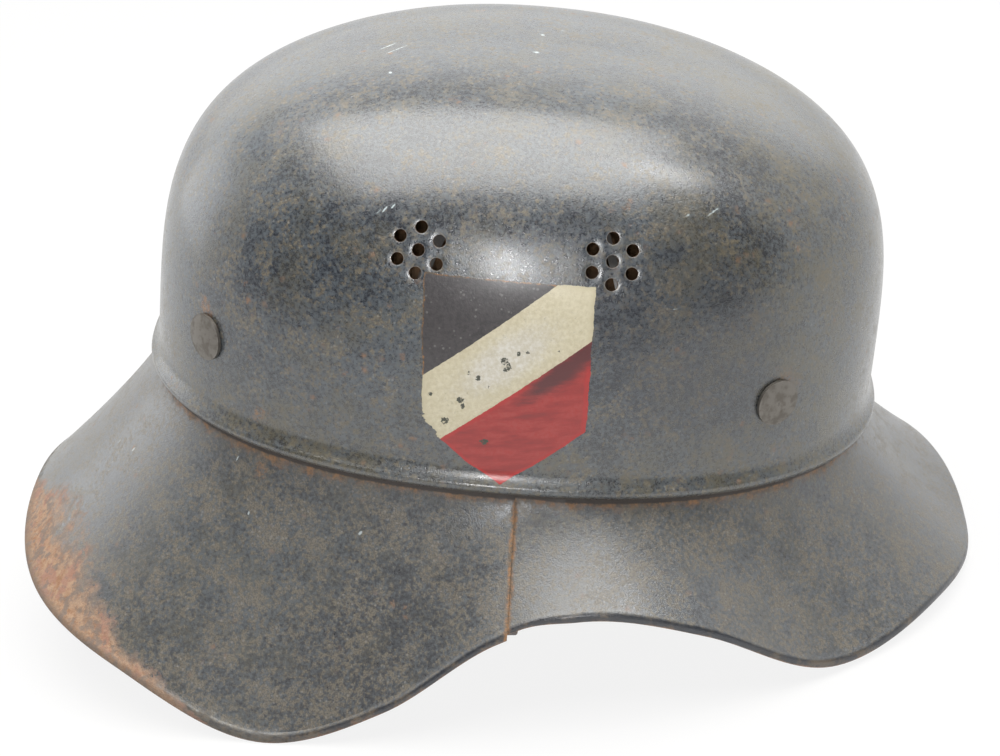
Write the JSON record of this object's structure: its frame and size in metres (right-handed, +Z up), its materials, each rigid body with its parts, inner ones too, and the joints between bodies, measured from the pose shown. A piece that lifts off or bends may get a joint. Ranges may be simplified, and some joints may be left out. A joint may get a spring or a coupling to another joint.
{
  "type": "civil defence helmet",
  "caption": "Steel civil defence helmet with a beaded crown, a visor and neck guard lapped at the ears, vent rosettes, a sprung leather liner and a buckled chin strap.",
  "frame": {"origin": "centre of the bounding box on the table that the helmet stands on", "axes": "+X is the wearer's front, +Y the wearer's left, +Z up; it stands on its visor and neck guard"},
  "size_m": [0.3134, 0.236, 0.1837],
  "materials": {
    "shell_paint": "satin blue-grey paint, worn and freckled with rust",
    "rivet_steel": "dull bare steel, browned",
    "liner_metal": "zinc-plated steel, dulled",
    "liner_leather": "old tan leather, darkened by wear",
    "strap_leather": "old brown leather, creased",
    "buckle_steel": "nickel-dull steel"
  },
  "bodies": {
    "shell": {"crown": "shell_paint", "visor": "shell_paint", "neck_guard": "shell_paint", "rivet_front_left": "rivet_steel", "washer_front_left": "liner_metal", "spring_front_left": "liner_metal", "rivet_front_right": "rivet_steel", "washer_front_right": "liner_metal", "spring_front_right": "liner_metal", "rivet_rear_left": "rivet_steel", "washer_rear_left": "liner_metal", "spring_rear_left": "liner_metal", "rivet_rear_right": "rivet_steel", "washer_rear_right": "liner_metal", "spring_rear_right": "liner_metal", "liner_band": "liner_metal", "liner_leather": "liner_leather", "leather_rivets": "rivet_steel", "bracket_left": "liner_metal", "bracket_right": "liner_metal", "bracket_rivets": "rivet_steel"},
    "bail_left": {"bail_left": "liner_metal"},
    "bail_right": {"bail_right": "liner_metal"},
    "strap_long": {"strap_long": "strap_leather", "stud_left": "buckle_steel"},
    "strap_short": {"strap_short": "strap_leather", "stud_right": "buckle_steel"},
    "keeper": {"keeper": "strap_leather"},
    "buckle": {"buckle_frame": "buckle_steel"},
    "roller": {"buckle_roller": "buckle_steel"},
    "prong": {"buckle_prong": "buckle_steel"}
  },
  "joints": [
    {"name": "bail_left_swing", "type": "hinge", "parent": "shell", "child": "bail_left", "pos_m": [0.01254, 0.08095, 0.08323], "axis": [0.9856, 0, -0.169], "range_deg": [-6, 12]},
    {"name": "bail_right_swing", "type": "hinge", "parent": "shell", "child": "bail_right", "pos_m": [0.01254, -0.08095, 0.08323], "axis": [0.9856, 0, -0.169], "range_deg": [-12, 6]},
    {"name": "strap_long_swing", "type": "hinge", "parent": "bail_left", "child": "strap_long", "pos_m": [0.01, 0.08095, 0.06845], "axis": [0.9856, 0, -0.169], "range_deg": [-6, 16]},
    {"name": "strap_short_swing", "type": "hinge", "parent": "bail_right", "child": "strap_short", "pos_m": [0.01, -0.08095, 0.06845], "axis": [0.9856, 0, -0.169], "range_deg": [-16, 6]},
    {"name": "keeper_slide", "type": "slide", "parent": "strap_short", "child": "keeper", "axis": [0, 1, 0], "range_m": [-0.003, 0.003]},
    {"name": "buckle_tilt", "type": "hinge", "parent": "strap_short", "child": "buckle", "pos_m": [-0.00126, -0.02593, 0.00525], "axis": [1, 0, 0], "range_deg": [-30, 45]},
    {"name": "roller_spin", "type": "hinge", "parent": "buckle", "child": "roller", "pos_m": [-0.00126, -0.01016, 0.00255], "axis": [1, 0, 0], "continuous": true},
    {"name": "prong_lift", "type": "hinge", "parent": "buckle", "child": "prong", "pos_m": [-0.00126, -0.02593, 0.00525], "axis": [1, 0, 0], "range_deg": [0, 90]}
  ]
}
